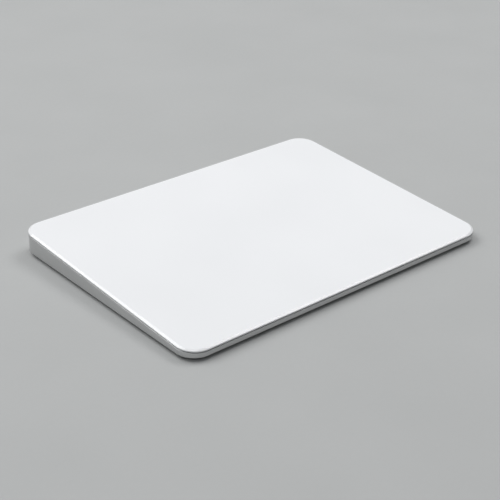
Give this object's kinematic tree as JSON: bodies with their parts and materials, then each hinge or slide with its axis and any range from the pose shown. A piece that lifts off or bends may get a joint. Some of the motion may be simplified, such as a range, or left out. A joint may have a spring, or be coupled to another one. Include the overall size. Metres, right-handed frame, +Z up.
{
  "type": "trackpad",
  "caption": "Wedge-shaped wireless desk trackpad: white glass touch plate on flexures over a grey metal case, with haptic drive, charging port and slide power switch.",
  "frame": {"origin": "on the desk, under the middle of the outline", "axes": "+X to the user's right, +Y from the thin front edge to the thick back edge, +Z up"},
  "size_m": [0.16, 0.115, 0.0109],
  "materials": {
    "case_metal": "bead-blasted, satin",
    "white_glass": "polished, opaque white",
    "foot_rubber": "matte",
    "clear_film": "thin bond film",
    "circuit_board": "solder mask",
    "stiffener_sheet": "rolled sheet",
    "chip_black": "moulded",
    "connector_tan": "moulded",
    "magnetic_steel": "laminated",
    "spring_steel": "rolled",
    "gel_clear": "soft gel",
    "flex_amber": "polyimide film",
    "copper_winding": "enamelled copper wire",
    "battery_foil": "laminated pouch",
    "foam_tape": "foam",
    "screw_steel": "zinc plated",
    "port_steel": "drawn",
    "contact_gold": "gold plated",
    "knob_metal": "satin",
    "marker_green": "printed film"
  },
  "bodies": {
    "base": {"lower_case": "case_metal", "flexure_screws": "screw_steel", "gauge_flex_left": "flex_amber", "gauge_flex_right": "flex_amber", "haptic_bracket": "spring_steel", "haptic_core_left": "magnetic_steel", "haptic_core_right": "magnetic_steel", "haptic_coil_left": "copper_winding", "haptic_coil_right": "copper_winding", "haptic_screws": "screw_steel", "haptic_flex": "flex_amber", "battery_cell": "battery_foil", "battery_tape": "foam_tape", "battery_board": "circuit_board", "battery_lead": "flex_amber", "logic_board": "circuit_board", "logic_processor": "chip_black", "logic_power_chip": "chip_black", "logic_connectors": "connector_tan", "logic_screws": "screw_steel", "sensor_flex": "flex_amber", "io_board": "circuit_board", "io_connector": "connector_tan", "io_flex": "flex_amber", "io_screws": "screw_steel", "charge_chip": "chip_black", "radio_shield": "port_steel", "antenna": "contact_gold", "port_shell": "port_steel", "port_tongue": "chip_black", "port_contacts": "contact_gold", "switch_body": "chip_black", "switch_marker": "marker_green", "foot_front_left": "foot_rubber", "flexure_front_left": "spring_steel", "strain_gauge_front_left": "flex_amber", "foot_front_right": "foot_rubber", "flexure_front_right": "spring_steel", "strain_gauge_front_right": "flex_amber", "foot_back_left": "foot_rubber", "flexure_back_left": "spring_steel", "strain_gauge_back_left": "flex_amber", "foot_back_right": "foot_rubber", "flexure_back_right": "spring_steel", "strain_gauge_back_right": "flex_amber"},
    "plate_carrier": {"gel_pad_front_left": "gel_clear", "gel_pad_front_right": "gel_clear", "gel_pad_back_left": "gel_clear", "gel_pad_back_right": "gel_clear"},
    "touch_plate": {"cover_glass": "white_glass", "bond_film": "clear_film", "sensor_board": "circuit_board", "plate_stiffener": "stiffener_sheet", "touch_controller": "chip_black", "sensor_connector": "connector_tan", "armature_plate": "magnetic_steel"},
    "power_switch": {"switch_knob": "knob_metal", "switch_lever": "chip_black"}
  },
  "joints": [
    {"name": "plate_press", "type": "slide", "parent": "base", "child": "plate_carrier", "axis": [0, 0.0521, -0.9986], "range_m": [0, 0.0002], "stiffness_N_per_m": 20000, "deforming": ["flexure_front_left", "flexure_front_right", "flexure_back_left", "flexure_back_right"]},
    {"name": "haptic_shift", "type": "slide", "parent": "plate_carrier", "child": "touch_plate", "axis": [1, 0, 0], "range_m": [-0.00015, 0.00015], "stiffness_N_per_m": 12000},
    {"name": "power_switch_slide", "type": "slide", "parent": "base", "child": "power_switch", "axis": [1, 0, 0], "range_m": [0, 0.0025]}
  ]
}
